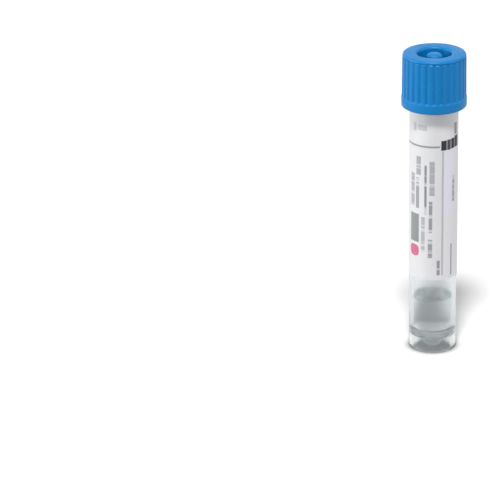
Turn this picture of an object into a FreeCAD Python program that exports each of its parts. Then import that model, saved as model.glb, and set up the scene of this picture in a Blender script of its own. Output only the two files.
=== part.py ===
# Specimen swab tube: a self-standing screw-cap transport tube, capped, labelled and filled.
#
# Five pieces: the clear tube with its conical floor and threaded neck, the ribbed screw cap with its
# plug, moat and swab funnel, the flat seal ring between the two, the wrap label and the medium.
# The origin is the centre of the foot ring, on the surface that the tube stands on. +Z is up the
# tube, and -Y is the front, where the label is centred. All sizes are in millimetres.
import FreeCAD, Part
import os

import Sketcher

# alias, value, what it measures
TUBE_SIZES = (
    ("tube_length", 77.2, "foot to rim"),
    ("tube_outer_dia", 12.25, "outside diameter of the wall"),
    ("tube_wall", 1.0, "wall around the bore"),
    ("skirt_wall", 1.35, "wall of the skirt that the tube stands on"),
    ("foot_round", 0.85, "rounding of the foot's outer edge"),
    ("foot_inner_round", 0.15, "rounding of the foot's inner edge"),
    ("rim_round", 0.25, "rounding of both edges of the rim"),
    ("cone_height", 6.0, "foot to the top of the conical floor, inside"),
    ("cone_round", 0.6, "rounding where the cone meets the bore"),
    ("tip_height", 1.5, "foot to the lowest point of the bore"),
    ("tip_flat_radius", 1.1, "radius of the small flat at the cone's tip"),
    ("tip_round", 0.8, "rounding between that flat and the cone"),
    ("floor_wall", 0.9, "wall of the conical floor"),
)
THREAD_SIZES = (
    ("thread_lead", 3.2, "rise for one turn, single start"),
    ("thread_height", 0.7, "height of the thread above its wall"),
    ("thread_root_width", 1.4, "width of the thread at its wall"),
    ("thread_crest_width", 0.7, "width of the thread at its crest"),
    ("thread_embed", 0.2, "depth of the thread's foot inside its wall"),
    ("thread_clearance", 0.25, "gap between each crest and the facing wall"),
    ("neck_thread_drop", 1.1, "rim to the top of the neck's thread"),
    ("neck_thread_rise", 2.25, "cap's lower edge to the bottom of the neck's thread"),
    ("cap_thread_drop", 3.1, "cap's roof to the top of its thread"),
    ("cap_thread_rise", 0.65, "cap's lower edge to the bottom of its thread"),
)
CAP_SIZES = (
    ("cap_height", 13.95, "lower edge to the land on top"),
    ("cap_wall", 1.055, "wall round the cap's bore, at the land"),
    ("cap_taper", 0.1, "gain in the side's radius from the land down to the bead"),
    ("cap_bead_step", 0.09, "how far the bead stands out from the side"),
    ("cap_bead_height", 2.4, "height of the bead"),
    ("bead_round", 0.4, "rounding of the bead's lower edge"),
    ("bead_step_round", 0.05, "rounding of the bead's upper edge"),
    ("cap_lead_in", 0.4, "bevel inside the lower edge"),
    ("land_thickness", 1.6, "roof of the cap above the seal ring"),
    ("land_round", 0.9, "rounding of the land's outer edge"),
    ("lip_round", 0.7, "rounding of the land's inner edge"),
    ("groove_count", 28, "grip grooves round the side"),
    ("groove_depth", 0.3, "depth of a groove at its top"),
    ("groove_radius", 0.5, "radius of a groove's section"),
    ("groove_margin", 1.1, "land to the top of the grooves"),
    ("plug_clearance", 0.1, "radial gap between the plug and the bore"),
    ("plug_depth", 3.6, "rim to the bottom of the plug"),
    ("plug_wall", 0.65, "wall of the plug"),
    ("plug_bevel", 0.5, "bevel at the plug's lower edge"),
    ("moat_floor", 0.8, "floor that joins the plug to the dome"),
    ("dome_base_radius", 3.1, "dome at the moat's floor"),
    ("dome_top_radius", 1.9, "dome at its top"),
    ("dome_drop", 0.25, "land to the top of the dome"),
    ("dome_round", 1.2, "rounding of the dome's top edge"),
    ("dome_roof", 0.9, "thickness of the dome's top"),
    ("funnel_mouth_radius", 3.0, "swab funnel at its mouth"),
    ("funnel_throat_radius", 2.3, "swab funnel above its flared mouth"),
    ("funnel_flare", 0.7, "height of the flared mouth"),
    ("funnel_grip_radius", 1.25, "top of the funnel, which grips a swab's shaft"),
)
SEAL_SIZES = (
    ("seal_thickness", 1.2, "seal ring between the rim and the cap's roof"),
    ("seal_gap", 0.25, "radial gap from the ring to the plug and to the skirt"),
    ("seal_round", 0.15, "rounding of the ring's edges"),
)
LABEL_SIZES = (
    ("label_thickness", 0.12, "paper and its adhesive"),
    ("label_bottom", 20.5, "foot to the label's lower edge"),
    ("label_headroom", 0.6, "label's upper edge to the cap's lower edge"),
    ("label_window", 2.2, "bare strip between the label's two ends, round the tube"),
)
MEDIUM_SIZES = (
    ("fill_height", 14.0, "foot to the surface of the medium"),
    ("meniscus_rise", 0.5, "climb of the medium at the wall"),
    ("meniscus_width", 1.2, "width of the ring that climbs"),
    ("meniscus_round", 1.5, "rounding between that ring and the level surface"),
)

# Expressions that several pieces share. Each is worked out from the cells of the sheet.
TUBE_R = "(Sizes.tube_outer_dia / 2)"
BORE_R = f"({TUBE_R} - Sizes.tube_wall)"
SKIRT_INNER_R = f"({TUBE_R} - Sizes.skirt_wall)"
CONE_SLOPE = f"((Sizes.cone_height - Sizes.tip_height) / ({BORE_R} - Sizes.tip_flat_radius))"
CONE_UPRIGHT_WALL = f"(Sizes.floor_wall * sqrt(1 + {CONE_SLOPE} ^ 2))"
ROOF_Z = "(Sizes.tube_length + Sizes.seal_thickness)"
LAND_Z = f"({ROOF_Z} + Sizes.land_thickness)"
CAP_EDGE_Z = f"({LAND_Z} - Sizes.cap_height)"
NECK_THREAD_Z = f"({CAP_EDGE_Z} + Sizes.neck_thread_rise + Sizes.thread_root_width / 2)"
NECK_THREAD_TOP = "(Sizes.tube_length - Sizes.neck_thread_drop - Sizes.thread_root_width / 2)"
CAP_THREAD_Z = f"({CAP_EDGE_Z} + Sizes.cap_thread_rise + Sizes.thread_root_width / 2)"
CAP_THREAD_TOP = f"({ROOF_Z} - Sizes.cap_thread_drop - Sizes.thread_root_width / 2)"
CAP_BORE_R = f"({TUBE_R} + Sizes.thread_height + Sizes.thread_clearance)"
CAP_TOP_R = f"({CAP_BORE_R} + Sizes.cap_wall)"
CAP_SIDE_R = f"({CAP_TOP_R} + Sizes.cap_taper)"
CAP_BEAD_R = f"({CAP_SIDE_R} + Sizes.cap_bead_step)"
PLUG_R = f"({BORE_R} - Sizes.plug_clearance)"
PLUG_Z = "(Sizes.tube_length - Sizes.plug_depth)"

FULL_TURN = 360.0
SAME_PLACE = 1e-4


def fill_sheet(doc):
    """Write every driving dimension into the sheet as a plain number with an alias."""
    sheet = doc.addObject("Spreadsheet::Sheet", "Sizes")
    rows = TUBE_SIZES + THREAD_SIZES + CAP_SIZES + SEAL_SIZES + LABEL_SIZES + MEDIUM_SIZES
    for row, (alias, value, meaning) in enumerate(rows, start=1):
        sheet.set(f"A{row}", alias)
        sheet.set(f"B{row}", str(value))
        sheet.set(f"C{row}", meaning)
        sheet.setAlias(f"B{row}", alias)
    doc.recompute()
    return sheet


def value_of(owner, expression):
    """Work an expression out as a plain number."""
    return float(owner.evalExpression(expression))


def new_body(doc, label):
    """Add an empty body whose label is the name of its node."""
    body = doc.addObject("PartDesign::Body", label)
    body.Label = label
    return body


def origin_plane(body, role):
    """Find one of the body's own origin planes by its role."""
    return next(plane for plane in body.Origin.OriginFeatures if plane.Role == role)


def new_sketch(body, name, role):
    """Add a sketch that lies flat on an origin plane of its own body."""
    sketch = body.newObject("Sketcher::SketchObject", name)
    sketch.AttachmentSupport = [(origin_plane(body, role), "")]
    sketch.MapMode = "FlatFace"
    return sketch


def pin_point(sketch, line, expression, kind, axis):
    """Hold a line's first point at a distance from one of the sketch's axes."""
    if expression == "0":
        sketch.addConstraint(Sketcher.Constraint("PointOnObject", line, 1, axis))
        return
    distance = value_of(sketch, expression)
    index = sketch.addConstraint(Sketcher.Constraint(kind, -1, 1, line, 1, distance))
    sketch.setExpression(f"Constraints[{index}]", expression)


def draw_outline(sketch, corners):
    """Draw a closed outline of straight lines whose corners are pairs of expressions."""
    points = [FreeCAD.Vector(value_of(sketch, x), value_of(sketch, y), 0) for x, y in corners]
    count = len(points)
    for line, point in enumerate(points):
        sketch.addGeometry(Part.LineSegment(point, points[(line + 1) % count]), False)
    for line in range(count):
        sketch.addConstraint(Sketcher.Constraint("Coincident", line, 2, (line + 1) % count, 1))
    for line, (x, y) in enumerate(corners):
        pin_point(sketch, line, x, "DistanceX", -2)
        pin_point(sketch, line, y, "DistanceY", -1)


def revolve(body, name, corners, sweep=None):
    """Turn an outline of (radius, height) corners about the tube's axis."""
    sketch = new_sketch(body, f"{name}_outline", "XZ_Plane")
    draw_outline(sketch, corners)
    turned = body.newObject("PartDesign::Revolution", name)
    turned.Profile = sketch
    turned.ReferenceAxis = (sketch, ["V_Axis"])
    turned.Angle = FULL_TURN
    if sweep:
        turned.Midplane = True
        turned.setExpression("Angle", sweep)
    body.Document.recompute()
    return turned


def round_edges(body, name, radius, corners):
    """Fillet the circular edges that pass through (radius, height) corners."""
    base = body.Tip
    found = []
    for corner in corners:
        edge_radius, height = (value_of(base, expression) for expression in corner)
        for number, edge in enumerate(base.Shape.Edges, start=1):
            curve = edge.Curve
            if not isinstance(curve, Part.Circle):
                continue
            if abs(curve.Radius - edge_radius) > SAME_PLACE:
                continue
            if abs(curve.Center.z - height) > SAME_PLACE:
                continue
            found.append(f"Edge{number}")
    if len(found) != len(corners):
        raise ValueError(f"{name}: {len(found)} edges found for {len(corners)} corners")
    fillet = body.newObject("PartDesign::Fillet", name)
    fillet.Base = (base, found)
    fillet.setExpression("Radius", radius)
    body.Document.recompute()
    return fillet


def add_thread(body, name, wall_radius, outward, start_z, end_z):
    """Wind a right-hand thread of the shared section on a wall, inside or outside it."""
    sign = "+" if outward else "-"
    back = "-" if outward else "+"
    foot = f"{wall_radius} {back} Sizes.thread_embed"
    crest = f"{wall_radius} {sign} Sizes.thread_height"
    sketch = new_sketch(body, f"{name}_section", "XZ_Plane")
    draw_outline(
        sketch,
        [
            (foot, f"{start_z} - Sizes.thread_root_width / 2"),
            (crest, f"{start_z} - Sizes.thread_crest_width / 2"),
            (crest, f"{start_z} + Sizes.thread_crest_width / 2"),
            (foot, f"{start_z} + Sizes.thread_root_width / 2"),
        ],
    )
    helix = body.newObject("PartDesign::AdditiveHelix", name)
    helix.Profile = sketch
    helix.ReferenceAxis = (sketch, ["V_Axis"])
    helix.Mode = "pitch-height-angle"
    helix.LeftHanded = False
    helix.setExpression("Pitch", "Sizes.thread_lead")
    helix.setExpression("Height", f"{end_z} - {start_z}")
    body.Document.recompute()
    return helix


def make_tube(doc):
    """One clear moulding: threaded neck, plain wall, conical floor and the skirt it stands on."""
    body = new_body(doc, "tube")
    underside_z = (
        f"Sizes.cone_height - ({BORE_R} - {SKIRT_INNER_R}) * {CONE_SLOPE} - {CONE_UPRIGHT_WALL}"
    )
    tip_z = "Sizes.tip_height - Sizes.floor_wall"
    tip_r = (
        f"Sizes.tip_flat_radius + ({CONE_UPRIGHT_WALL} - Sizes.floor_wall) / {CONE_SLOPE}"
    )
    revolve(
        body,
        "tube_wall_turned",
        [
            ("0", tip_z),
            (tip_r, tip_z),
            (SKIRT_INNER_R, underside_z),
            (SKIRT_INNER_R, "0"),
            (TUBE_R, "0"),
            (TUBE_R, "Sizes.tube_length"),
            (BORE_R, "Sizes.tube_length"),
            (BORE_R, "Sizes.cone_height"),
            ("Sizes.tip_flat_radius", "Sizes.tip_height"),
            ("0", "Sizes.tip_height"),
        ],
    )
    round_edges(body, "tip_inside", "Sizes.tip_round", [("Sizes.tip_flat_radius", "Sizes.tip_height")])
    round_edges(body, "tip_outside", "Sizes.tip_round + Sizes.floor_wall", [(tip_r, tip_z)])
    round_edges(body, "cone_inside", "Sizes.cone_round", [(BORE_R, "Sizes.cone_height")])
    round_edges(body, "foot_outside", "Sizes.foot_round", [(TUBE_R, "0")])
    round_edges(body, "foot_inside", "Sizes.foot_inner_round", [(SKIRT_INNER_R, "0")])
    rim = [(TUBE_R, "Sizes.tube_length"), (BORE_R, "Sizes.tube_length")]
    round_edges(body, "rim", "Sizes.rim_round", rim)
    add_thread(body, "neck_thread", TUBE_R, True, NECK_THREAD_Z, NECK_THREAD_TOP)
    return body


def cut_grooves(body):
    """Cut the grip grooves between the bead and the top band, evenly round the side."""
    bead_top = f"{CAP_EDGE_Z} + Sizes.cap_bead_height"
    sketch = new_sketch(body, "groove_section", "XY_Plane")
    sketch.setExpression("AttachmentOffset.Base.z", bead_top)
    centre_r = f"{CAP_TOP_R} - Sizes.groove_depth + Sizes.groove_radius"
    reach = value_of(sketch, centre_r)
    centre = FreeCAD.Vector(reach, 0, 0)
    up = FreeCAD.Vector(0, 0, 1)
    sketch.addGeometry(Part.Circle(centre, up, value_of(sketch, "Sizes.groove_radius")), False)
    sketch.addConstraint(Sketcher.Constraint("PointOnObject", 0, 3, -1))
    place = sketch.addConstraint(Sketcher.Constraint("DistanceX", -1, 1, 0, 3, reach))
    sketch.setExpression(f"Constraints[{place}]", centre_r)
    radius = value_of(sketch, "Sizes.groove_radius")
    size = sketch.addConstraint(Sketcher.Constraint("Radius", 0, radius))
    sketch.setExpression(f"Constraints[{size}]", "Sizes.groove_radius")
    before = body.Tip.Shape.Volume

    groove = body.newObject("PartDesign::Pocket", "groove")
    groove.Profile = sketch
    groove.Reversed = True
    groove.setExpression(
        "Length", "Sizes.cap_height - Sizes.cap_bead_height - Sizes.groove_margin"
    )
    body.Document.recompute()
    pattern = body.newObject("PartDesign::PolarPattern", "grooves")
    pattern.Originals = [groove]
    pattern.Axis = (sketch, ["N_Axis"])
    pattern.Angle = FULL_TURN
    pattern.setExpression("Occurrences", "Sizes.groove_count")
    body.Tip = pattern
    body.Document.recompute()
    if pattern.Shape.Volume >= before:
        raise ValueError("the grip grooves removed nothing")
    return pattern


def make_cap(doc):
    """One moulding: ribbed skirt with the inner thread, roof, plug, moat and domed swab funnel."""
    body = new_body(doc, "cap")
    bead_z = f"{CAP_EDGE_Z} + Sizes.cap_bead_height"
    moat_r = f"{PLUG_R} - Sizes.plug_wall"
    moat_z = f"{PLUG_Z} + Sizes.moat_floor"
    dome_z = f"{LAND_Z} - Sizes.dome_drop"
    revolve(
        body,
        "cap_turned",
        [
            ("0", dome_z),
            ("Sizes.dome_top_radius", dome_z),
            ("Sizes.dome_base_radius", moat_z),
            (moat_r, moat_z),
            (moat_r, LAND_Z),
            (CAP_TOP_R, LAND_Z),
            (CAP_SIDE_R, bead_z),
            (CAP_BEAD_R, bead_z),
            (CAP_BEAD_R, CAP_EDGE_Z),
            (f"{CAP_BORE_R} + Sizes.cap_lead_in", CAP_EDGE_Z),
            (CAP_BORE_R, f"{CAP_EDGE_Z} + Sizes.cap_lead_in"),
            (CAP_BORE_R, ROOF_Z),
            (PLUG_R, ROOF_Z),
            (PLUG_R, f"{PLUG_Z} + Sizes.plug_bevel"),
            (f"{PLUG_R} - Sizes.plug_bevel", PLUG_Z),
            ("Sizes.funnel_mouth_radius", PLUG_Z),
            ("Sizes.funnel_throat_radius", f"{PLUG_Z} + Sizes.funnel_flare"),
            ("Sizes.funnel_grip_radius", f"{dome_z} - Sizes.dome_roof"),
            ("0", f"{dome_z} - Sizes.dome_roof"),
        ],
    )
    round_edges(body, "dome_top", "Sizes.dome_round", [("Sizes.dome_top_radius", dome_z)])
    round_edges(body, "land_outside", "Sizes.land_round", [(CAP_TOP_R, LAND_Z)])
    round_edges(body, "land_inside", "Sizes.lip_round", [(moat_r, LAND_Z)])
    round_edges(body, "bead_below", "Sizes.bead_round", [(CAP_BEAD_R, CAP_EDGE_Z)])
    round_edges(body, "bead_above", "Sizes.bead_step_round", [(CAP_BEAD_R, bead_z)])
    cut_grooves(body)
    add_thread(body, "cap_thread", CAP_BORE_R, False, CAP_THREAD_Z, CAP_THREAD_TOP)

    # Turned so that its thread lies midway between the turns of the neck's.
    body.Placement.Rotation = FreeCAD.Rotation(FreeCAD.Vector(0, 0, 1), 1.0)
    body.setExpression(
        "Placement.Rotation.Angle",
        f"{FULL_TURN} * mod(({CAP_THREAD_Z} - {NECK_THREAD_Z}) / Sizes.thread_lead - 0.5; 1)",
    )
    return body


def make_seal_ring(doc):
    """A soft flat ring on the rim, under the cap's roof."""
    body = new_body(doc, "seal_ring")
    inner = f"{PLUG_R} + Sizes.seal_gap"
    outer = f"{CAP_BORE_R} - Sizes.seal_gap"
    low = "Sizes.tube_length"
    corners = [(inner, low), (outer, low), (outer, ROOF_Z), (inner, ROOF_Z)]
    revolve(body, "ring_turned", corners)
    round_edges(body, "ring_edges", "Sizes.seal_round", corners)
    return body


def make_label(doc):
    """A paper label wrapped round the tube, with a bare window strip down the back."""
    body = new_body(doc, "label")
    outer = f"{TUBE_R} + Sizes.label_thickness"
    top = f"{CAP_EDGE_Z} - Sizes.label_headroom"
    revolve(
        body,
        "label_wrapped",
        [
            (TUBE_R, "Sizes.label_bottom"),
            (outer, "Sizes.label_bottom"),
            (outer, top),
            (TUBE_R, top),
        ],
        sweep=f"{FULL_TURN} * (1 - Sizes.label_window / (2 * pi * {TUBE_R}))",
    )
    # The wrap is drawn about +X, and a quarter turn brings its middle to the front.
    body.Placement.Rotation = FreeCAD.Rotation(FreeCAD.Vector(0, 0, 1), -FULL_TURN / 4)
    return body


def make_medium(doc):
    """The liquid that fills the cone and the foot of the bore, with its raised edge."""
    body = new_body(doc, "medium")
    level_r = f"{BORE_R} - Sizes.meniscus_width"
    revolve(
        body,
        "medium_turned",
        [
            ("0", "Sizes.tip_height"),
            ("Sizes.tip_flat_radius", "Sizes.tip_height"),
            (BORE_R, "Sizes.cone_height"),
            (BORE_R, "Sizes.fill_height + Sizes.meniscus_rise"),
            (level_r, "Sizes.fill_height"),
            ("0", "Sizes.fill_height"),
        ],
    )
    round_edges(body, "medium_tip", "Sizes.tip_round", [("Sizes.tip_flat_radius", "Sizes.tip_height")])
    round_edges(body, "medium_cone", "Sizes.cone_round", [(BORE_R, "Sizes.cone_height")])
    round_edges(body, "meniscus", "Sizes.meniscus_round", [(level_r, "Sizes.fill_height")])
    return body


def check_document(doc, bodies):
    """Stop if any object failed, or if a piece is not one valid solid."""
    for item in doc.Objects:
        if "Invalid" in item.State or "Error" in item.State:
            raise RuntimeError(f"{item.Label} failed: {item.State}")
    for body in bodies:
        shape = body.Shape
        if shape.isNull() or not shape.isValid():
            raise RuntimeError(f"{body.Label} has no valid shape")
        if len(shape.Solids) != 1:
            raise RuntimeError(f"{body.Label} has {len(shape.Solids)} solids")


def main():
    doc = FreeCAD.newDocument("specimen_swab_tube")
    fill_sheet(doc)
    makers = (make_tube, make_cap, make_seal_ring, make_label, make_medium)
    bodies = [make(doc) for make in makers]
    doc.recompute()
    check_document(doc, bodies)
    os.makedirs("parts", exist_ok=True)
    for body in bodies:
        body.Shape.exportStep(f"parts/{body.Label}.step")
        box = body.Shape.BoundBox
        print(
            f"{body.Label}: {body.Shape.Volume:.1f} mm3, "
            f"{box.XLength:.2f} x {box.YLength:.2f} x {box.ZLength:.2f} mm, "
            f"z {box.ZMin:.2f} to {box.ZMax:.2f}"
        )


main()
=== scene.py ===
"""Looks of the specimen swab tube: clear tube, screw cap, seal ring, wrap label and liquid.

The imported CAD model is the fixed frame, and every height and outer radius is read from its boxes.
Each turned piece is a surface of two parameters, the angle round the tube's axis and the place
along a section. Sizes of the pieces are in millimetres, and meshes are written in metres.
"""

import logging
import math
from dataclasses import dataclass
from enum import Enum
from typing import Any, Callable

import bpy
import numpy as np
from mathutils import Matrix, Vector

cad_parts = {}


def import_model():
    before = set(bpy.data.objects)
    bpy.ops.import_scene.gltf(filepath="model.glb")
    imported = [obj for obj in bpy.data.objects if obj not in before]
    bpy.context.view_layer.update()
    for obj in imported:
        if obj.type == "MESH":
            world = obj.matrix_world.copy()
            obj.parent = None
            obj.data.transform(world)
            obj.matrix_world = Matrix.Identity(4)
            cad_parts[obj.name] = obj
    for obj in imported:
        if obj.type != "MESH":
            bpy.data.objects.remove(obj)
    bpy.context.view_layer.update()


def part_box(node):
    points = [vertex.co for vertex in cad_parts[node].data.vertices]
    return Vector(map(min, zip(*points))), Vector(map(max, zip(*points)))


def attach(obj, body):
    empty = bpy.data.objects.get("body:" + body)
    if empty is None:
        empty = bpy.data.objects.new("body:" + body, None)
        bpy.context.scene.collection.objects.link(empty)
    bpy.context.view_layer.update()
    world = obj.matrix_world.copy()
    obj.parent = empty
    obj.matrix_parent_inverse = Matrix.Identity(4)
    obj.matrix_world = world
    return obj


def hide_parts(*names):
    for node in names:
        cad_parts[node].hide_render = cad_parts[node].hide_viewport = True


LOG = logging.getLogger("swab_tube")

MM = 0.001
TURN = 2.0 * math.pi
# Thickness of the label, in millimetres.
PAPER = 0.12
# How many steps a plain turned piece has round its axis, and the angle between two rows of an arc.
COLUMNS = 192
ARC_STEP = math.radians(15.0)
# Edges that turn by more than this are shaded sharp.
SHARP_ANGLE = math.radians(38.0)

Array = np.ndarray
Piece = bpy.types.Object
Material = bpy.types.Material
Tree = bpy.types.NodeTree
Socket = bpy.types.NodeSocket
Color = tuple[float, float, float, float]
Shaping = Callable[[Array, Array, Array, Array], Array]


class Zone(Enum):
    """What a side of a section carries on top of its plain turned surface."""

    PLAIN = 0
    THREAD = 1
    GRIP = 2


# ---------------------------------------------------------------- surfaces


@dataclass(frozen=True)
class Corner:
    """A corner of a section, with the zone and the row spacing of the side that leaves it.

    Sizes in millimetres.
    """

    r: float
    z: float
    rounding: float = 0.0
    zone: Zone = Zone.PLAIN
    step: float = 6.0


@dataclass(frozen=True)
class Section:
    """Rows of a turned surface: each row's radius, height and zone."""

    r: Array
    z: Array
    zone: Array


def smooth_ramp(low: float, high: float, x: Array) -> Array:
    """Rise from 0 at low to 1 at high along 3t^2 - 2t^3, where t is x's place between the two.

    Args:
        low: Where the ramp starts.
        high: Where the ramp ends.
        x: Places to evaluate.

    Returns:
        The ramp's height at each place.
    """
    t = np.clip((x - low) / (high - low), 0.0, 1.0)
    return t * t * (3.0 - 2.0 * t)


def soft_min(a: Array, b: Array, blend: float) -> Array:
    """Take the smaller of two surfaces and round the edge where they meet.

    The result is the mean less half of the root of the squared difference plus the squared blend.

    Args:
        a: First surface.
        b: Second surface.
        blend: Width of the rounded edge.

    Returns:
        The blended surface.
    """
    return 0.5 * (a + b - np.sqrt((a - b) ** 2 + blend**2))


def round_corner(before: Array, corner: Array, after: Array, radius: float) -> Array:
    """Replace a corner by an arc that touches both of its sides.

    The arc's centre lies on the corner's bisector at radius / sin(half angle). Its points are
    centre + start * cos(t) + side * sin(t), with t from 0 to pi less the corner's angle.

    Args:
        before: The corner before this one.
        corner: The corner itself.
        after: The corner after this one.
        radius: Radius of the arc, 0 to leave the corner sharp.

    Returns:
        The arc's points, or the corner alone.
    """
    if radius <= 0.0:
        return corner[None, :]
    to_before = (before - corner) / np.linalg.norm(before - corner)
    to_after = (after - corner) / np.linalg.norm(after - corner)
    angle = math.acos(float(np.clip(to_before @ to_after, -1.0, 1.0)))
    bisector = (to_before + to_after) / np.linalg.norm(to_before + to_after)
    centre = corner + bisector * radius / math.sin(angle / 2.0)
    reach = radius / math.tan(angle / 2.0)
    start = corner + to_before * reach - centre
    end = corner + to_after * reach - centre
    sweep = math.pi - angle
    side = (end - start * math.cos(sweep)) / math.sin(sweep)
    t = np.linspace(0.0, sweep, max(3, math.ceil(sweep / ARC_STEP) + 1))[:, None]
    return centre + start * np.cos(t) + side * np.sin(t)


def make_section(corners: list[Corner]) -> Section:
    """Turn a list of corners into rows, with arcs at the corners and rows along the sides.

    Args:
        corners: The section's corners in order. It closes on itself unless it starts and ends on
            the axis.

    Returns:
        The rows, without a repeated last row.
    """
    count = len(corners)
    on_axis = corners[0].r == 0.0
    points = np.array([(c.r, c.z) for c in corners])
    arcs = []
    for i, c in enumerate(corners):
        at_pole = on_axis and i in (0, count - 1)
        radius = 0.0 if at_pole else c.rounding
        arcs.append(round_corner(points[i - 1], points[i], points[(i + 1) % count], radius))
    rows = [arcs[0]]
    zones = [np.full(len(arcs[0]), Zone.PLAIN.value)]
    for i in range(count if not on_axis else count - 1):
        start, end = arcs[i][-1], arcs[(i + 1) % count][0]
        zone = corners[i].zone
        steps = max(1, math.ceil(float(np.linalg.norm(end - start)) / corners[i].step))
        t = np.arange(1, steps)[:, None] / steps
        rows.append(start + (end - start) * t)
        zones.append(np.full(steps - 1, zone.value))
        if i + 1 < count:
            rows.append(arcs[i + 1])
            kept = zone if zone is corners[i + 1].zone else Zone.PLAIN
            zones.append(np.full(len(arcs[i + 1]), kept.value))
    table = np.concatenate(rows)
    return Section(table[:, 0], table[:, 1], np.concatenate(zones))


def outward(points: Array, quads: Array, triangles: Array) -> tuple[Array, Array]:
    """Turn all faces round if they enclose a negative volume, so that they point outwards.

    The volume is the sum over the faces' triangles of a . (b x c) / 6.

    Args:
        points: Vertices.
        quads: Quad corner indices.
        triangles: Triangle corner indices.

    Returns:
        Quads and triangles that point outwards.
    """
    halves = np.concatenate([quads[:, [0, 1, 2]], quads[:, [0, 2, 3]], triangles.reshape(-1, 3)])
    a, b, c = (points[halves[:, k]] for k in range(3))
    if float(np.einsum("ij,ij->", a, np.cross(b, c))) < 0.0:
        return quads[:, ::-1], triangles[:, ::-1]
    return quads, triangles


def write_mesh(name: str, points: Array, quads: Array, triangles: Array) -> Piece:
    """Put a closed surface into a new mesh object at the origin.

    Args:
        name: The object's name.
        points: Vertices in millimetres.
        quads: Quad corner indices.
        triangles: Triangle corner indices.

    Returns:
        The object, shaded smooth with its sharp edges kept.
    """
    quads, triangles = outward(points, quads, triangles)
    mesh = bpy.data.meshes.new(name)
    mesh.from_pydata((points * MM).tolist(), [], quads.tolist() + triangles.tolist())
    mesh.polygons.foreach_set("use_smooth", np.ones(len(mesh.polygons), bool))
    mesh.set_sharp_from_angle(angle=SHARP_ANGLE)
    mesh.update()
    piece = bpy.data.objects.new(name, mesh)
    bpy.context.scene.collection.objects.link(piece)
    return piece


def turned_piece(
    name: str, section: Section, columns: int = COLUMNS, shaping: Shaping | None = None
) -> Piece:
    """Carry a section round the tube's axis.

    A point is (r cos a, r sin a, z), where a is the angle and z belongs to the row. So does r,
    unless the shaping gives another radius at that place.

    Args:
        name: The object's name.
        section: The rows.
        columns: How many steps the full turn has.
        shaping: Radius as a function of the angle, radius, height and zone grids.

    Returns:
        The closed object.
    """
    angle = np.arange(columns) * TURN / columns
    a, z = np.meshgrid(angle, section.z)
    r = np.repeat(section.r[:, None], columns, axis=1)
    if shaping is not None:
        r = shaping(a, r, z, np.repeat(section.zone[:, None], columns, axis=1))
    grid = np.stack([r * np.cos(a), r * np.sin(a), z], axis=-1)

    poles = section.r[0] == 0.0
    body = grid[1:-1] if poles else grid
    rows = len(body)
    index = np.arange(rows * columns).reshape(rows, columns)
    lower = index[:-1] if poles else index
    upper = index[1:] if poles else np.roll(index, -1, axis=0)
    quads = np.stack(
        [lower, np.roll(lower, -1, axis=1), np.roll(upper, -1, axis=1), upper], axis=-1
    ).reshape(-1, 4)
    points = body.reshape(-1, 3)
    triangles = np.zeros((0, 3), int)
    if poles:
        first, last = len(points), len(points) + 1
        points = np.concatenate([points, grid[0, :1], grid[-1, :1]])
        ring, end = index[0], index[-1]
        triangles = np.concatenate(
            [
                np.stack([np.roll(ring, -1), ring, np.full(columns, first)], axis=-1),
                np.stack([end, np.roll(end, -1), np.full(columns, last)], axis=-1),
            ]
        )
    return write_mesh(name, points, quads, triangles)


@dataclass(frozen=True)
class Thread:
    """A single-start right-hand thread on a round wall. Sizes in millimetres."""

    start_z: float
    end_z: float
    lead: float = 3.2
    height: float = 0.7
    root_width: float = 1.24
    crest_width: float = 0.7
    run_in: float = 0.14

    def height_at(self, angle: Array, z: Array) -> Array:
        """Height of the thread above its wall.

        Turn number t = angle / full turn + k has its centre line at start_z + lead * t. The height
        is a ramp across each flank, flat over the crest, faded over run_in turns at both ends.

        Args:
            angle: Angles round the axis.
            z: Heights.

        Returns:
            The thread's height at each place.
        """
        turns = (self.end_z - self.start_z) / self.lead
        found = np.zeros_like(z)
        for k in range(math.ceil(turns) + 1):
            t = angle / TURN + k
            away = np.abs(z - self.start_z - self.lead * t)
            flank = smooth_ramp(-self.root_width / 2.0, -self.crest_width / 2.0, -away)
            fade = smooth_ramp(0.0, self.run_in, t) * smooth_ramp(0.0, self.run_in, turns - t)
            found = np.maximum(found, self.height * flank * fade)
        return found


# ---------------------------------------------------------------- materials


def linear(code: str) -> Color:
    """Turn an sRGB hex value into the linear colour that shaders take.

    Args:
        code: Six hex digits.

    Returns:
        Linear red, green, blue and an alpha of 1.
    """
    channels = (int(code[i : i + 2], 16) / 255.0 for i in (0, 2, 4))
    r, g, b = (c / 12.92 if c <= 0.04045 else ((c + 0.055) / 1.055) ** 2.4 for c in channels)
    return (r, g, b, 1.0)


def add_node(
    tree: Tree,
    kind: str,
    links: dict[str | int, Socket] | None = None,
    values: dict[str | int, Any] | None = None,
    **settings: Any,
) -> bpy.types.Node:
    """Add a node with its settings, its input values and its links.

    Args:
        tree: The node tree.
        kind: The node's type, without the ShaderNode that it begins with.
        links: Output sockets to link, by the name or number of the input.
        values: Values to set, by the name or number of the input.
        **settings: Attributes of the node.

    Returns:
        The node.
    """
    node = tree.nodes.new("ShaderNode" + kind)
    for name, value in settings.items():
        setattr(node, name, value)
    for name, value in (values or {}).items():
        node.inputs[name].default_value = value
    for name, socket in (links or {}).items():
        tree.links.new(socket, node.inputs[name])
    return node


def new_material(name: str) -> tuple[Material, Tree]:
    """Make a material whose tree is empty.

    Args:
        name: The material's name.

    Returns:
        The material and its tree.
    """
    material = bpy.data.materials.new(name)
    material.use_nodes = True
    material.node_tree.nodes.clear()
    return material, material.node_tree


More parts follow.
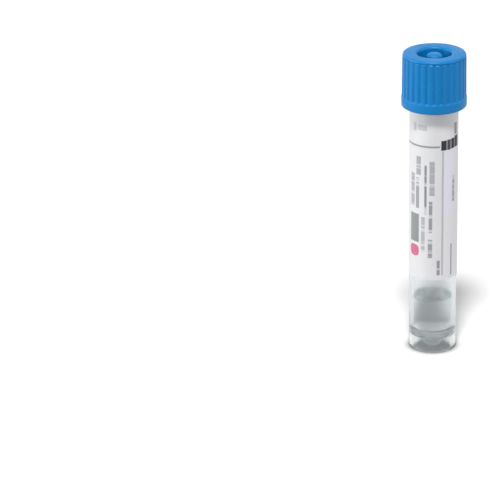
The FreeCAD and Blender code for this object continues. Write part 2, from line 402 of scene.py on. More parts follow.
@dataclass(frozen=True)
class Clouds:
    """A cloudy pattern through a piece, with the size of its clouds in millimetres.

    It can mix two colours, vary the polish between two values as the clouds' density crosses its
    span, raise a relief of a height in millimetres, or do several of these.
    """

    size_mm: float
    detail: float
    fine_share: float = 0.5
    bend: float = 0.0
    colors: tuple[str, str] | None = None
    roughness: tuple[float, float] | None = None
    span: tuple[float, float] = (0.0, 1.0)
    height_mm: float = 0.0
    strength: float = 0.0

    def build(self, tree: Tree) -> dict[str, Socket]:
        """Add the pattern to a material.

        Args:
            tree: The material's tree.

        Returns:
            What it gives the surface's shader: sockets by the name of the shader's input.
        """
        place = add_node(tree, "TexCoord")
        density = add_node(
            tree,
            "TexNoise",
            {"Vector": place.outputs["Object"]},
            {
                "Scale": 1.0 / (self.size_mm * MM),
                "Detail": self.detail,
                "Roughness": self.fine_share,
                "Distortion": self.bend,
            },
        ).outputs["Fac"]
        given = {}
        if self.colors is not None:
            given["Base Color"] = add_node(
                tree,
                "Mix",
                {"Factor": density},
                {"A": linear(self.colors[0]), "B": linear(self.colors[1])},
                data_type="RGBA",
            ).outputs["Result"]
        if self.roughness is not None:
            given["Roughness"] = add_node(
                tree,
                "MapRange",
                {"Value": density},
                {
                    "From Min": self.span[0],
                    "From Max": self.span[1],
                    "To Min": self.roughness[0],
                    "To Max": self.roughness[1],
                },
            ).outputs["Result"]
        if self.height_mm > 0.0:
            given["Normal"] = add_node(
                tree,
                "Bump",
                {"Height": density},
                {"Strength": self.strength, "Distance": self.height_mm * MM},
            ).outputs["Normal"]
        return given


def close_material(
    material: Material,
    links: dict[str, Socket],
    values: dict[str, Any],
    body: dict[str, Any] | None = None,
) -> Material:
    """Close a material with its surface and, if it is clear, with a body that takes up some light.

    Args:
        material: The material, with its patterns.
        links: Sockets to link to the surface's shader.
        values: Values of the surface's shader.
        body: Colour that a clear body lets through, and how much it takes up per metre.

    Returns:
        The material.
    """
    tree = material.node_tree
    clear = {} if body is None else {"Transmission Weight": 1.0}
    shader = add_node(tree, "BsdfPrincipled", links, {**clear, **values})
    ends = {"Surface": shader.outputs["BSDF"]}
    if body is not None:
        ends["Volume"] = add_node(tree, "VolumeAbsorption", values=body).outputs["Volume"]
    add_node(tree, "OutputMaterial", ends)
    return material


@dataclass(frozen=True)
class ClearPolypropylene:
    """Clear polypropylene, injection moulded in a polished mould.

    It is never as clear as glass: the eye sees a faint haze, a cool grey body and slow waves left
    by the flow of the melt. The conical floor comes off a matt part of the mould, so it looks
    frosted and stands out pale in the clear skirt.
    """

    name: str = "clear_polypropylene_moulded"
    tint: str = "F7F9FA"
    roughness: float = 0.2
    ior: float = 1.49
    body_color: str = "9FAEB4"
    body_density: float = 22.0
    frost: float = 0.9
    frost_mm: tuple[float, float] = (4.6, 4.72)
    waves: Clouds = Clouds(7.0, detail=1.0, fine_share=0.4, height_mm=0.02, strength=0.5)

    def build(self) -> Material:
        """Build the material.

        Returns:
            The material.
        """
        material, tree = new_material(self.name)
        waves = self.waves.build(tree)
        # All of the tube that lies nearer to the axis than the skirt's inside is its conical floor.
        place = add_node(tree, "TexCoord")
        level = add_node(
            tree,
            "VectorMath",
            {0: place.outputs["Object"]},
            {1: (1.0, 1.0, 0.0)},
            operation="MULTIPLY",
        )
        radius = add_node(tree, "VectorMath", {0: level.outputs["Vector"]}, operation="LENGTH")
        haze = add_node(
            tree,
            "MapRange",
            {"Value": radius.outputs["Value"]},
            {
                "From Min": self.frost_mm[0] * MM,
                "From Max": self.frost_mm[1] * MM,
                "To Min": self.frost,
                "To Max": self.roughness,
            },
        )
        return close_material(
            material,
            {**waves, "Roughness": haze.outputs["Result"]},
            {"Base Color": linear(self.tint), "IOR": self.ior},
            {"Color": linear(self.body_color), "Density": self.body_density},
        )


@dataclass(frozen=True)
class BluePolyethylene:
    """Blue high-density polyethylene, injection moulded with a satin surface.

    The eye sees a broad soft sheen, slight swirls of pigment and a fine grain from the mould. The
    real grain is about 0.05 mm, and is drawn coarser so that it shows.
    """

    name: str = "blue_polyethylene_satin"
    ior: float = 1.52
    specular: float = 0.22
    swirl: Clouds = Clouds(
        5.0,
        detail=3.0,
        bend=0.6,
        colors=("087CBF", "0675B5"),
        roughness=(0.36, 0.46),
        span=(0.3, 0.7),
    )
    grain: Clouds = Clouds(0.26, detail=2.0, height_mm=0.014, strength=0.6)

    def build(self) -> Material:
        """Build the material.

        Returns:
            The material.
        """
        material, tree = new_material(self.name)
        return close_material(
            material,
            {**self.swirl.build(tree), **self.grain.build(tree)},
            {"IOR": self.ior, "Specular IOR Level": self.specular},
        )


@dataclass(frozen=True)
class SiliconeRubber:
    """Off-white silicone rubber, die cut from sheet: matt, with a faint mottle and dusty grain."""

    name: str = "silicone_rubber_sheet"
    roughness: float = 0.62
    ior: float = 1.43
    mottle: Clouds = Clouds(1.5, detail=3.0, colors=("DDDCD4", "CFCEC6"))
    grain: Clouds = Clouds(0.15, detail=1.0, height_mm=0.01, strength=0.5)

    def build(self) -> Material:
        """Build the material.

        Returns:
            The material.
        """
        material, tree = new_material(self.name)
        return close_material(
            material,
            {**self.mottle.build(tree), **self.grain.build(tree)},
            {"Roughness": self.roughness, "IOR": self.ior},
        )


@dataclass(frozen=True)
class WateryMedium:
    """Clear watery transport medium, with the weak grey-green tint of a buffered salt solution."""

    name: str = "watery_medium"
    tint: str = "FCFEFE"
    ior: float = 1.34
    body_color: str = "84A5A2"
    body_density: float = 36.0
    ripple: Clouds = Clouds(4.0, detail=0.0, height_mm=0.01, strength=0.3)

    def build(self) -> Material:
        """Build the material.

        Returns:
            The material.
        """
        material, tree = new_material(self.name)
        return close_material(
            material,
            self.ripple.build(tree),
            {"Base Color": linear(self.tint), "Roughness": 0.0, "IOR": self.ior},
            {"Color": linear(self.body_color), "Density": self.body_density},
        )


class Ink(Enum):
    """The label's printing inks."""

    BLACK = "2B2B33"
    GREY = "85868D"
    PALE_GREY = "A6A7AE"
    SLATE = "55615F"
    ROSE = "CC4677"
    LILAC = "E2E0F2"


@dataclass(frozen=True)
class PrintField:
    """A plain printed field on the flat label, in millimetres from its lower left corner.

    A field with words is broken up along its length, cover is how dense its ink is, and corner is
    the radius of its corners.
    """

    left: float
    right: float
    low: float
    high: float
    ink: Ink
    words: bool = False
    cover: float = 1.0
    corner: float = 0.0


# The layout is plain bars where the label carries writing, ruled lines and a few fields of colour.
PRINT = (
    PrintField(1.5, 19.7, 36.1, 36.45, Ink.GREY, cover=0.85),
    PrintField(12.5, 13.3, 40.1, 42.2, Ink.PALE_GREY, cover=0.6),
    PrintField(14.0, 16.4, 40.6, 41.9, Ink.PALE_GREY, cover=0.5),
    PrintField(20.1, 21.5, 35.3, 37.8, Ink.BLACK),
    PrintField(21.75, 22.75, 35.3, 37.9, Ink.BLACK, cover=0.95),
    PrintField(23.0, 24.1, 35.4, 38.0, Ink.BLACK),
    PrintField(24.3, 25.9, 35.5, 38.4, Ink.BLACK),
    PrintField(24.2, 25.3, 38.9, 41.9, Ink.GREY, cover=0.85),
    PrintField(20.35, 20.75, 1.3, 35.0, Ink.PALE_GREY, cover=0.65),
    PrintField(21.0, 23.4, 17.0, 35.0, Ink.LILAC, cover=0.7),
    PrintField(23.5, 24.3, 21.0, 27.8, Ink.GREY, words=True, cover=0.7),
    PrintField(23.1, 23.45, 0.9, 9.4, Ink.GREY, cover=0.8),
    PrintField(13.5, 14.8, 28.5, 33.4, Ink.GREY, words=True, cover=0.65),
    PrintField(13.4, 14.3, 19.4, 27.6, Ink.GREY, words=True, cover=0.75),
    PrintField(11.5, 12.8, 19.9, 28.5, Ink.PALE_GREY, words=True, cover=0.85),
    PrintField(15.9, 16.4, 17.9, 31.4, Ink.GREY, words=True, cover=0.9),
    PrintField(15.05, 15.95, 7.7, 17.1, Ink.PALE_GREY, words=True, cover=0.75),
    PrintField(17.2, 18.4, 23.2, 32.3, Ink.GREY, words=True, cover=0.6),
    PrintField(17.1, 17.85, 13.1, 21.5, Ink.GREY, words=True, cover=0.8),
    PrintField(16.9, 17.9, 6.2, 11.1, Ink.GREY, words=True, cover=0.78),
    PrintField(11.4, 14.3, 10.1, 17.7, Ink.SLATE, cover=0.7),
    PrintField(11.3, 14.3, 6.2, 9.2, Ink.ROSE, cover=0.85, corner=1.1),
    PrintField(19.2, 19.85, 1.4, 5.3, Ink.GREY, words=True, cover=0.85),
    PrintField(27.6, 27.9, 3.0, 33.0, Ink.PALE_GREY),
    PrintField(30.0, 30.3, 3.0, 33.0, Ink.PALE_GREY),
    PrintField(32.4, 32.7, 3.0, 33.0, Ink.PALE_GREY),
)


@dataclass(frozen=True)
class CoatedPaper:
    """White coated label paper, printed: semi-matt, with faint fibres and soft-edged ink."""

    flat_width: float
    flat_height: float
    printed: bool
    name: str = "coated_label_paper"
    roughness: float = 0.45
    ior: float = 1.5
    specular: float = 0.3
    fibres: Clouds = Clouds(
        0.5, detail=4.0, colors=("E4E4E6", "DFDFE2"), height_mm=0.006, strength=0.4
    )
    ink_edge: float = 0.12
    word_mm: float = 1.4
    word_detail: float = 1.0
    word_cell_mm: tuple[float, float] = (1.87, 0.01)
    gap_range: tuple[float, float] = (0.4, 0.46)
    gap_cover: float = 0.3
    see_through: float = 0.7
    light_reach_mm: float = 0.2

    def field_mask(self, tree: Tree, flat: Socket, area: PrintField) -> Socket:
        """Mask one field: 1 inside, falling to 0 over the ink's soft edge.

        The distance outside a rectangle is the length of max(|p - centre| - half size, 0). Rounded
        corners come from a rectangle that is smaller by their radius, taken that much further out.

        Args:
            tree: The material's tree.
            flat: Place on the flat label in millimetres.
            area: The field.

        Returns:
            The mask.
        """
        none = (0.0, 0.0, 0.0)
        centre = ((area.left + area.right) / 2.0, (area.low + area.high) / 2.0, 0.0)
        half = (
            (area.right - area.left) / 2.0 - area.corner,
            (area.high - area.low) / 2.0 - area.corner,
            1.0,
        )
        vector = flat
        for operation, other in (
            ("SUBTRACT", centre), ("ABSOLUTE", none), ("SUBTRACT", half), ("MAXIMUM", none)
        ):
            vector = add_node(
                tree, "VectorMath", {0: vector}, {1: other}, operation=operation
            ).outputs["Vector"]
        reach = add_node(tree, "VectorMath", {0: vector}, operation="LENGTH")
        mask = add_node(
            tree,
            "MapRange",
            {"Value": reach.outputs["Value"]},
            {
                "From Min": area.corner,
                "From Max": area.corner + self.ink_edge,
                "To Min": area.cover,
                "To Max": 0.0,
            },
        )
        return mask.outputs["Result"]

    def print_fields(self, tree: Tree, flat: Socket, paper: Socket) -> Socket:
        """Lay every field of print over the paper, ink by ink.

        Args:
            tree: The material's tree.
            flat: Place on the flat label in millimetres.
            paper: Colour of the bare paper.

        Returns:
            Colour of the printed paper.
        """
        # Bars that stand for lines of writing run up the label. A noise that stays the same across
        # a column, and differs from column to column, breaks them up into words.
        along = add_node(
            tree, "VectorMath", {0: flat}, {1: (*self.word_cell_mm, 1.0)}, operation="SNAP"
        )
        words = add_node(
            tree,
            "TexNoise",
            {"Vector": along.outputs["Vector"]},
            {"Scale": 1.0 / self.word_mm, "Detail": self.word_detail},
        )
        gaps = add_node(
            tree,
            "MapRange",
            {"Value": words.outputs["Fac"]},
            {
                "From Min": self.gap_range[0],
                "From Max": self.gap_range[1],
                "To Min": self.gap_cover,
            },
        )
        color = paper
        for ink in Ink:
            total = None
            for area in (a for a in PRINT if a.ink is ink):
                mask = self.field_mask(tree, flat, area)
                if area.words:
                    mask = add_node(
                        tree, "Math", {0: mask, 1: gaps.outputs["Result"]}, operation="MULTIPLY"
                    ).outputs["Value"]
                if total is not None:
                    mask = add_node(
                        tree, "Math", {0: mask, 1: total}, operation="MAXIMUM"
                    ).outputs["Value"]
                total = mask
            color = add_node(
                tree,
                "Mix",
                {"Factor": total, "A": color},
                {"B": linear(ink.value)},
                data_type="RGBA",
            ).outputs["Result"]
        return color

    def build(self) -> Material:
        """Build the material.

        Returns:
            The material.
        """
        material, tree = new_material(self.name)
        surface = self.fibres.build(tree)
        if self.printed:
            place = add_node(tree, "TexCoord")
            flat = add_node(
                tree,
                "VectorMath",
                {0: place.outputs["UV"]},
                {1: (self.flat_width, self.flat_height, 0.0)},
                operation="MULTIPLY",
            )
            paper = surface["Base Color"]
            surface["Base Color"] = self.print_fields(tree, flat.outputs["Vector"], paper)
        return close_material(
            material,
            surface,
            {
                "Roughness": self.roughness,
                "IOR": self.ior,
                "Specular IOR Level": self.specular,
                "Subsurface Weight": self.see_through,
                "Subsurface Radius": (1.0, 1.0, 1.0),
                "Subsurface Scale": self.light_reach_mm * MM,
            },
        )


# ---------------------------------------------------------------- the tube's pieces


@dataclass(frozen=True)
class Cone:
    """The inside of the tube's conical floor, which the liquid fills. Sizes in millimetres."""

    top_z: float = 6.0
    top_round: float = 0.6
    tip_r: float = 1.1
    tip_round: float = 0.8


@dataclass(frozen=True)
class Envelope:
    """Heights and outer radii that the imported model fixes, in millimetres."""

    rim_z: float
    wall_r: float
    bore_r: float
    label_low: float
    label_high: float
    label_r: float
    cap_edge_z: float
    land_z: float
    bead_r: float
    seal_low: float
    seal_high: float
    seal_r: float
    medium_low: float
    medium_high: float

    @classmethod
    def from_frame(cls, paper: float) -> "Envelope":
        """Read the boxes of the CAD nodes.

        Args:
            paper: Thickness of the label.

        Returns:
            The envelope.
        """
        tube, cap, label, seal, medium = (
            (np.array(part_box(node)) / MM).tolist()
            for node in ("tube", "cap", "label", "seal_ring", "medium")
        )
        return cls(
            rim_z=tube[1][2],
            wall_r=label[1][0] - paper,
            bore_r=medium[1][0],
            label_low=label[0][2],
            label_high=label[1][2],
            label_r=label[1][0],
            cap_edge_z=cap[0][2],
            land_z=cap[1][2],
            bead_r=min(abs(side) for corner in cap for side in corner[:2]),
            seal_low=seal[0][2],
            seal_high=seal[1][2],
            seal_r=seal[1][0],
            medium_low=medium[0][2],
            medium_high=medium[1][2],
        )


def dress(piece: Piece, body: str, node: str, slot: str, *materials: Material) -> Piece:
    """Give a piece its materials and tie it to the frame.

    Args:
        piece: The finished object.
        body: The CAD body that it rides on.
        node: The CAD node that it stands for.
        slot: Not used.
        *materials: The piece's materials, in slot order.

    Returns:
        The same object.
    """
    for material in materials:
        piece.data.materials.append(material)
    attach(piece, body)
    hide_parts(node)
    return piece


@dataclass
class ClearTube:
    """The clear moulding: threaded neck, plain wall, conical floor and the skirt it stands on."""

    envelope: Envelope
    finish: ClearPolypropylene = ClearPolypropylene()
    cone: Cone = Cone()
    tip_z: float = 1.5
    floor_wall: float = 0.9
    skirt_wall: float = 1.35
    skirt_roof_round: float = 0.3
    foot_round: float = 0.85
    foot_inner_round: float = 0.15
    rim_round: float = 0.25
    thread_low: float = 69.0
    thread_high: float = 75.4
    thread_step: float = 0.06
    neck_z: float = 66.6

    def section(self) -> Section:
        """Work out the section: up the outside, over the rim and down the bore to the cone's tip.

        Returns:
            The section, from the underside of the floor to its inside.
        """
        e, cone = self.envelope, self.cone
        slope = (cone.top_z - self.tip_z) / (e.bore_r - cone.tip_r)
        upright = self.floor_wall * math.hypot(1.0, slope)
        skirt_r = e.wall_r - self.skirt_wall
        under_z = cone.top_z - (e.bore_r - skirt_r) * slope - upright
        under_tip_z = self.tip_z - self.floor_wall
        under_tip_r = cone.tip_r + (upright - self.floor_wall) / slope
        return make_section(
            [
                Corner(0.0, under_tip_z),
                Corner(under_tip_r, under_tip_z, cone.tip_round + self.floor_wall),
                Corner(skirt_r, under_z, self.skirt_roof_round),
                Corner(skirt_r, 0.0, self.foot_inner_round),
                Corner(e.wall_r, 0.0, self.foot_round),
                Corner(e.wall_r, self.neck_z, zone=Zone.THREAD, step=self.thread_step),
                Corner(e.wall_r, e.rim_z, self.rim_round),
                Corner(e.bore_r, e.rim_z, self.rim_round),
                Corner(e.bore_r, cone.top_z, cone.top_round),
                Corner(cone.tip_r, self.tip_z, cone.tip_round),
                Corner(0.0, self.tip_z),
            ]
        )

    def shaped(self, angle: Array, r: Array, z: Array, zone: Array) -> Array:
        """Raise the neck's thread on the rows of the neck."""
        thread = Thread(self.thread_low, self.thread_high)
        return np.where(zone == Zone.THREAD.value, r + thread.height_at(angle, z), r)

    def make(self) -> Piece:
        """Build the tube and tie it to the frame."""
        piece = turned_piece("clear_tube", self.section(), shaping=self.shaped)
        return dress(piece, "tube_body", "tube", "clear_polypropylene", self.finish.build())


@dataclass
class ScrewCap:
    """The blue moulding: grooved side, bead, roof with its recess and dome, plug and funnel."""

    envelope: Envelope
    finish: BluePolyethylene = BluePolyethylene()
    top_r: float = 8.13
    side_r: float = 8.23
    bead_height: float = 2.4
    bead_round: float = 0.05
    edge_round: float = 0.4
    land_round: float = 0.6
    ring_step: float = 0.08
    ring_r: float = 7.84
    ring_top: float = 79.38
    ring_slope: float = 0.06
    ring_low: float = 79.18
    ring_round: float = 0.04
    rib_chamfer: float = 0.26
    rib_round: float = 0.1
    lip_round: float = 0.7
    recess_r: float = 4.375
    recess_z: float = 74.4
    recess_round: float = 0.3
    dome_z: float = 79.75
    dome_top_r: float = 1.9
    dome_base_r: float = 3.1
    dome_round: float = 1.2
    bore_r: float = 7.075
    lead_in: float = 0.4
    lead_in_round: float = 0.1
    roof_round: float = 0.15
    plug_r: float = 5.025
    plug_z: float = 73.6
    plug_bevel: float = 0.5
    plug_round: float = 0.2
    throat_round: float = 0.4
    funnel: tuple[tuple[float, float], ...] = ((3.0, 73.6), (2.3, 74.3), (1.25, 78.85))
    groove_count: int = 28
    groove_r: float = 0.5
    groove_centre_r: float = 8.33
    groove_edge: float = 0.12
    groove_fade: float = 0.35
    thread_low: float = 67.4
    thread_high: float = 74.6
    thread_step: float = 0.16
    grip_step: float = 0.14
    columns_per_groove: int = 12

    def section(self) -> Section:
        """Work out the section: dome, recess, land, side, bead, then up the inside to the funnel.

        Returns:
            The section, from the dome's top to the funnel's.
        """
        e = self.envelope
        bead_z = e.cap_edge_z + self.bead_height
        land_r = self.top_r - self.ring_step
        rib_z = self.ring_low - self.rib_chamfer
        thread_z = e.cap_edge_z + self.lead_in
        mouth, throat, grip = self.funnel
        return make_section(
            [
                Corner(0.0, self.dome_z),
                Corner(self.dome_top_r, self.dome_z, self.dome_round),
                Corner(self.dome_base_r, self.recess_z, self.recess_round),
                Corner(self.recess_r, self.recess_z, self.recess_round),
                Corner(self.recess_r, e.land_z, self.lip_round),
                Corner(land_r, e.land_z, self.land_round),
                Corner(land_r, self.ring_top, self.ring_round),
                Corner(self.ring_r, self.ring_top - self.ring_slope, self.ring_round),
                Corner(self.ring_r, self.ring_low, self.ring_round, Zone.GRIP, self.grip_step),
                Corner(self.top_r, rib_z, self.rib_round, Zone.GRIP, self.grip_step),
                Corner(self.side_r, bead_z, self.ring_round),
                Corner(e.bead_r, bead_z, self.bead_round),
                Corner(e.bead_r, e.cap_edge_z, self.edge_round),
                Corner(self.bore_r + self.lead_in, e.cap_edge_z, self.lead_in_round),
                Corner(self.bore_r, thread_z, zone=Zone.THREAD, step=self.thread_step),
                Corner(self.bore_r, e.seal_high, self.roof_round),
                Corner(self.plug_r, e.seal_high, self.roof_round),
                Corner(self.plug_r, self.plug_z + self.plug_bevel, self.plug_round),
                Corner(self.plug_r - self.plug_bevel, self.plug_z, self.plug_round),
                Corner(*mouth, self.plug_round),
                Corner(*throat, self.throat_round),
                Corner(*grip, self.plug_round),
                Corner(0.0, grip[1]),
            ]
        )

    def groove_wall(self, angle: Array, z: Array) -> Array:
        """Radius of the grip grooves' walls.

        A groove is a round channel: along the ray at angle a from its middle, its wall lies at
        C cos a - sqrt(g^2 - C^2 sin^2 a), where C is the radius of the channels' centres and g is
        the channel's own. It runs out over a short stretch above the bead.

        Args:
            angle: Angles round the axis.
            z: Heights.

        Returns:
            The wall's radius, which is beyond the cap's side between two grooves.
        """
        pitch = TURN / self.groove_count
        a = (angle + pitch / 2.0) % pitch - pitch / 2.0
        reach = self.groove_r**2 - (self.groove_centre_r * np.sin(a)) ** 2
        wall = self.groove_centre_r * np.cos(a) - np.sqrt(np.maximum(reach, 0.0))
        bead_z = self.envelope.cap_edge_z + self.bead_height
        end = smooth_ramp(-bead_z - self.groove_fade, -bead_z, -z)
        return wall + self.groove_r * end

    def shaped(self, angle: Array, r: Array, z: Array, zone: Array) -> Array:
        """Sink the grip grooves on the side's rows and raise the thread on the bore's rows.

        Args:
            angle: Angles round the axis.
            r: Radii of the plain surface.
            z: Heights.
            zone: Zones of the rows.

        Returns:
            The radii with grooves and thread.
        """
        thread = Thread(self.thread_low, self.thread_high)
        grip = soft_min(self.groove_wall(angle, z), r, self.groove_edge)
        threaded = np.where(zone == Zone.THREAD.value, r - thread.height_at(angle, z), r)
        return np.where(zone == Zone.GRIP.value, grip, threaded)

    def make(self) -> Piece:
        """Build the cap, with a whole number of columns to each groove, and tie it to the frame.

        Returns:
            The object.
        """
        columns = self.groove_count * self.columns_per_groove
        piece = turned_piece("screw_cap", self.section(), columns, self.shaped)
        return dress(piece, "cap_body", "cap", "blue_cap_plastic", self.finish.build())


@dataclass
class SealRing:
    """The soft flat ring on the rim, under the cap's roof."""

    envelope: Envelope
    finish: SiliconeRubber = SiliconeRubber()
    inner_r: float = 5.275
    edge_round: float = 0.15

    def make(self) -> Piece:
        """Build the ring from its square section and tie it to the frame.

        Returns:
            The object.
        """
        e = self.envelope
        corners = [
            Corner(self.inner_r, e.seal_low, self.edge_round),
            Corner(e.seal_r, e.seal_low, self.edge_round),
            Corner(e.seal_r, e.seal_high, self.edge_round),
            Corner(self.inner_r, e.seal_high, self.edge_round),
        ]
        piece = turned_piece("seal_washer", make_section(corners))
        return dress(piece, "seal_body", "seal_ring", "seal_rubber", self.finish.build())


@dataclass
class Medium:
    """The liquid, a hair clear of the wall, which gives the cone and the sides their glints."""

    envelope: Envelope
    finish: WateryMedium = WateryMedium()
    cone: Cone = Cone()
    wall_gap: float = 0.02
    level_z: float = 14.0
    curl_width: float = 0.55
    rows: int = 24

    def section(self) -> Section:
        """Work out the section: from the cone's tip up the wall, then in along the curved surface.

        The surface is level_z + rise * exp(-d / curl_width), where d is the distance from the wall.

        Returns:
            The section, from the cone's tip to the middle of the surface.
        """
        e, cone = self.envelope, self.cone
        wall = e.bore_r - self.wall_gap
        low = make_section(
            [
                Corner(0.0, e.medium_low + self.wall_gap),
                Corner(cone.tip_r, e.medium_low + self.wall_gap, cone.tip_round),
                Corner(wall, cone.top_z + self.wall_gap, cone.top_round),
                Corner(wall, e.medium_high),
                Corner(0.0, e.medium_high),
            ]
        )
        d = wall * np.linspace(0.0, 1.0, self.rows)[1:-1] ** 2
        rise = e.medium_high - self.level_z
        top_r = wall - d
        top_z = self.level_z + rise * np.exp(-d / self.curl_width)
        r = np.concatenate([low.r[:-1], top_r, [0.0]])
        z = np.concatenate([low.z[:-1], top_z, [self.level_z]])
        return Section(r, z, np.full(len(r), Zone.PLAIN.value))

    def make(self) -> Piece:
        """Build the liquid and tie it to the frame."""
        piece = turned_piece("liquid_medium", self.section())
        return dress(piece, "tube_body", "medium", "liquid_medium", self.finish.build())


@dataclass
class WrapLabel:
    """The paper label wrapped round the tube, with a bare strip down the back."""

    envelope: Envelope
    window: float = 2.2
    glue_gap: float = 0.01
    columns: int = 180
    rows: int = 40

    @property
    def flat_width(self) -> float:
        """Width of the label laid flat."""
        return TURN * self.envelope.wall_r - self.window

    @property
    def flat_height(self) -> float:
        """Height of the label laid flat."""
        return self.envelope.label_high - self.envelope.label_low

    def make(self) -> Piece:
        """Build the label and tie it to the frame.

        A point at the share u across and v up the label stands at the angle (u - 1/2) * width / r
        from the front, where r is the wall's radius, on the outer or the inner face. The faces'
        shared edges are closed by strips.

        Returns:
            The object.
        """
        e = self.envelope
        u, v = np.meshgrid(np.linspace(0.0, 1.0, self.columns), np.linspace(0.0, 1.0, self.rows))
        a = (u - 0.5) * self.flat_width / e.wall_r
        z = e.label_low + v * self.flat_height
        faces = []
        for r in (e.label_r, e.wall_r + self.glue_gap):
            faces.append(np.stack([r * np.sin(a), -r * np.cos(a), z], axis=-1).reshape(-1, 3))
        points = np.concatenate(faces)
        front = np.arange(u.size).reshape(u.shape)
        back = front + u.size
        sheet = np.stack([front[:-1, :-1], front[:-1, 1:], front[1:, 1:], front[1:, :-1]], axis=-1)
        lining = np.stack([back[:-1, :-1], back[1:, :-1], back[1:, 1:], back[:-1, 1:]], axis=-1)
        strips = [
            np.stack([back[0, :-1], back[0, 1:], front[0, 1:], front[0, :-1]], axis=-1),
            np.stack([front[-1, :-1], front[-1, 1:], back[-1, 1:], back[-1, :-1]], axis=-1),
            np.stack([back[:-1, 0], front[:-1, 0], front[1:, 0], back[1:, 0]], axis=-1),
            np.stack([front[:-1, -1], back[:-1, -1], back[1:, -1], front[1:, -1]], axis=-1),
        ]
        quads = np.concatenate([sheet.reshape(-1, 4), lining.reshape(-1, 4), *strips])
        piece = write_mesh("wrap_label", points, quads, np.zeros((0, 3), int))

        mesh = piece.data
        corner = np.zeros(len(mesh.loops), int)
        mesh.loops.foreach_get("vertex_index", corner)
        shares = np.stack([np.tile(u.ravel(), 2), np.tile(v.ravel(), 2)], axis=-1)
        layer = mesh.uv_layers.new(name="flat_label")
        layer.data.foreach_set("uv", shares[corner].ravel())
        slots = np.ones(len(quads), int)
        slots[: (self.rows - 1) * (self.columns - 1)] = 0
        mesh.polygons.foreach_set("material_index", slots)
        face = CoatedPaper(self.flat_width, self.flat_height, printed=True)
        backing = CoatedPaper(
            self.flat_width, self.flat_height, printed=False, name="label_backing_paper"
        )
        return dress(piece, "tube_body", "label", "label_paper", face.build(), backing.build())


# ---------------------------------------------------------------- studio


@dataclass(frozen=True)
class Lamp:
    """A soft lamp so far off that it lights evenly. Angles in degrees; azimuth 0 is the front."""

    name: str
    level: float
    azimuth: float
    elevation: float
    angle: float

    def make(self) -> None:
        """Hang the lamp so that it lights a level white surface to its level."""
        lift = math.radians(90.0 - self.elevation)
        light = bpy.data.lights.new(self.name, "SUN")
        light.energy = math.pi * self.level / math.cos(lift)
        light.angle = math.radians(self.angle)
        lamp = bpy.data.objects.new(self.name, light)
        tilt = Matrix.Rotation(lift, 4, "X")
        lamp.matrix_world = Matrix.Rotation(math.radians(self.azimuth), 4, "Z") @ tilt
        bpy.context.scene.collection.objects.link(lamp)


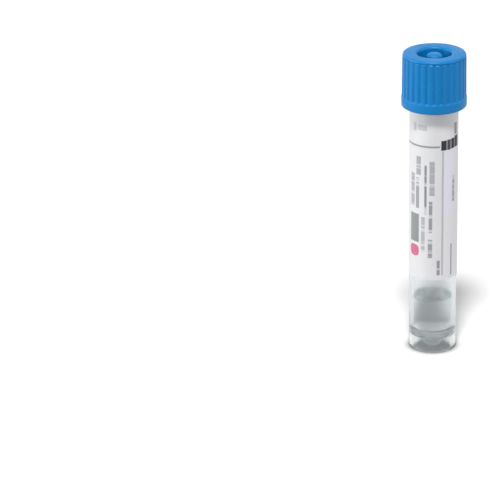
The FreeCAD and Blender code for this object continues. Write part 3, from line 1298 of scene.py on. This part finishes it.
@dataclass
class Studio:
    """The pale floor, the soft light and the camera.

    Sizes are in metres, except where a name ends in mm. The focal length and the aim point's place
    in the frame are in units of which the frame's width holds frame_width.
    """

    floor_size: float = 8.0
    floor_color: str = "B8B8B8"
    floor_white: str = "F0F0F0"
    floor_gap_mm: float = 0.05
    white_from: float = 0.1
    white_to: float = 0.6
    # Painted shade: the floor's colour is darkened close round and under the tube's foot.
    painted_shade_mm: tuple[float, float] = (5.0, 8.0)
    painted_shade_depth: float = 0.62
    sky: float = 0.3
    lamps: tuple[Lamp, ...] = (
        Lamp("top_lamp", 0.8, azimuth=-4.0, elevation=64.0, angle=10.0),
        Lamp("left_lamp", 0.06, azimuth=-82.0, elevation=5.0, angle=26.0),
        Lamp("right_lamp", 0.031, azimuth=72.0, elevation=6.0, angle=50.0),
    )
    bounces: int = 32
    camera_distance: float = 0.85
    camera_elevation: float = 20.855
    camera_roll: float = -0.439
    aim_z: float = 0.04
    frame_width: float = 500.0
    focal_length: float = 3310.5
    aim_place: tuple[float, float] = (433.22, 200.73)
    sensor_mm: float = 36.0

    def seen(self, tree: Tree) -> Socket:
        """Tell the rays that show the background from the rest.

        Args:
            tree: The tree of the floor's material or of the world.

        Returns:
            1 for camera, glossy and transmission rays, and 0 for the others.
        """
        path = add_node(tree, "LightPath")
        shiny = add_node(
            tree,
            "Math",
            {0: path.outputs["Is Glossy Ray"], 1: path.outputs["Is Transmission Ray"]},
            operation="MAXIMUM",
        )
        return add_node(
            tree,
            "Math",
            {0: path.outputs["Is Camera Ray"], 1: shiny.outputs["Value"]},
            operation="MAXIMUM",
        ).outputs["Value"]

    def make_floor(self) -> None:
        """Lay the plain pale floor.

        It turns to even white far from the tube, where no shadow falls. Close round the foot and
        under it, a soft painted contact shade darkens the floor's colour towards black. It stands
        for light that a real clear foot keeps off the floor.
        """
        half = self.floor_size / 2.0
        corners = ((-half, -half), (half, -half), (half, half), (-half, half))
        mesh = bpy.data.meshes.new("studio_floor")
        mesh.from_pydata([(x, y, -self.floor_gap_mm * MM) for x, y in corners], [], [(0, 1, 2, 3)])
        floor = bpy.data.objects.new("studio_floor", mesh)
        bpy.context.scene.collection.objects.link(floor)
        material, tree = new_material("pale_studio_floor")
        seen = self.seen(tree)
        place = add_node(tree, "TexCoord")
        away = add_node(tree, "VectorMath", {0: place.outputs["Object"]}, operation="LENGTH")
        far = add_node(
            tree,
            "MapRange",
            {"Value": away.outputs["Value"]},
            {"From Min": self.white_from, "From Max": self.white_to},
            interpolation_type="SMOOTHSTEP",
        )
        share = add_node(tree, "Math", {0: far.outputs["Result"], 1: seen}, operation="MULTIPLY")
        # Painted contact shade: the floor's colour darkens towards black close round and under the
        # foot.
        painted_shade = add_node(
            tree,
            "MapRange",
            {"Value": away.outputs["Value"]},
            {
                "From Min": self.painted_shade_mm[0] * MM,
                "From Max": self.painted_shade_mm[1] * MM,
                "To Min": self.painted_shade_depth,
                "To Max": 0.0,
            },
            interpolation_type="SMOOTHSTEP",
        )
        shown = add_node(
            tree,
            "Mix",
            {"Factor": seen},
            {"A": linear(self.floor_color), "B": linear(self.floor_white)},
            data_type="RGBA",
        )
        shaded = add_node(
            tree,
            "Mix",
            {"Factor": painted_shade.outputs["Result"], "A": shown.outputs["Result"]},
            {"B": linear("000000")},
            data_type="RGBA",
        )
        matt = add_node(tree, "BsdfDiffuse", {"Color": shaded.outputs["Result"]})
        white = add_node(tree, "Emission")
        mixed = add_node(
            tree,
            "MixShader",
            {0: share.outputs["Value"], 1: matt.outputs["BSDF"], 2: white.outputs["Emission"]},
        )
        add_node(tree, "OutputMaterial", {"Surface": mixed.outputs["Shader"]})
        mesh.materials.append(material)

    def make_light(self) -> None:
        """Light the tube with an even sky and soft lamps from above the front and from the left."""
        world = bpy.data.worlds.new("studio_sky")
        world.use_nodes = True
        tree = world.node_tree
        tree.nodes.clear()
        dim, white = (
            add_node(tree, "Background", values={"Color": linear("FFFFFF"), "Strength": strength})
            for strength in (self.sky, 1.0)
        )
        mixed = add_node(
            tree,
            "MixShader",
            {0: self.seen(tree), 1: dim.outputs["Background"], 2: white.outputs["Background"]},
        )
        add_node(tree, "OutputWorld", {"Surface": mixed.outputs["Shader"]})
        bpy.context.scene.world = world

        for lamp in self.lamps:
            lamp.make()

    def make_camera(self) -> None:
        """Place the camera at the fitted angle, turned so that the tube stands right of the middle.

        The camera first looks at the aim point, is rolled about its own axis, and is then turned by
        the smallest rotation that brings the aim point to its place in the frame.
        """
        lift = math.radians(self.camera_elevation)
        place = np.array([0.0, -math.cos(lift), math.sin(lift)]) * self.camera_distance
        place[2] += self.aim_z
        right = np.array([1.0, 0.0, 0.0])
        ahead = np.array([0.0, math.cos(lift), -math.sin(lift)])
        axes = np.stack([right, np.cross(right, ahead), ahead])
        roll = math.radians(self.camera_roll)
        rolled = np.array(
            [
                [math.cos(roll), -math.sin(roll), 0.0],
                [math.sin(roll), math.cos(roll), 0.0],
                [0.0, 0.0, 1.0],
            ]
        )
        middle = self.frame_width / 2.0
        aim = np.array([self.aim_place[0] - middle, middle - self.aim_place[1], self.focal_length])
        aim /= np.linalg.norm(aim)
        axis = np.cross([0.0, 0.0, 1.0], aim)
        skew = np.array([[0.0, 0.0, axis[1]], [0.0, 0.0, -axis[0]], [-axis[1], axis[0], 0.0]])
        turned = np.eye(3) + skew + skew @ skew / (1.0 + aim[2])
        x, y, forward = turned @ rolled @ axes
        pose = np.eye(4)
        pose[:3, 0], pose[:3, 1], pose[:3, 2], pose[:3, 3] = x, y, -forward, place
        lens = bpy.data.cameras.new("camera")
        lens.sensor_width = self.sensor_mm
        lens.lens = self.focal_length * self.sensor_mm / self.frame_width
        camera = bpy.data.objects.new("camera", lens)
        camera.matrix_world = Matrix(pose.tolist())
        bpy.context.scene.collection.objects.link(camera)
        bpy.context.scene.camera = camera

    def make(self) -> None:
        """Set up the whole studio."""
        self.make_floor()
        self.make_light()
        self.make_camera()
        scene = bpy.context.scene
        scene.view_settings.view_transform = "Standard"
        # Light that is caught between the tube's walls and the liquid takes many turns to get out.
        scene.cycles.max_bounces = self.bounces
        scene.cycles.transmission_bounces = self.bounces
        scene.cycles.glossy_bounces = self.bounces


def main() -> None:
    """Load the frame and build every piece."""
    logging.basicConfig(level=logging.INFO, format="%(name)s: %(message)s")
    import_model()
    envelope = Envelope.from_frame(PAPER)
    for part in (ClearTube, WrapLabel, Medium, SealRing, ScrewCap):
        piece = part(envelope).make()
        LOG.info("%s: %d faces", piece.name, len(piece.data.polygons))
    Studio().make()


if __name__ == "__main__":
    main()
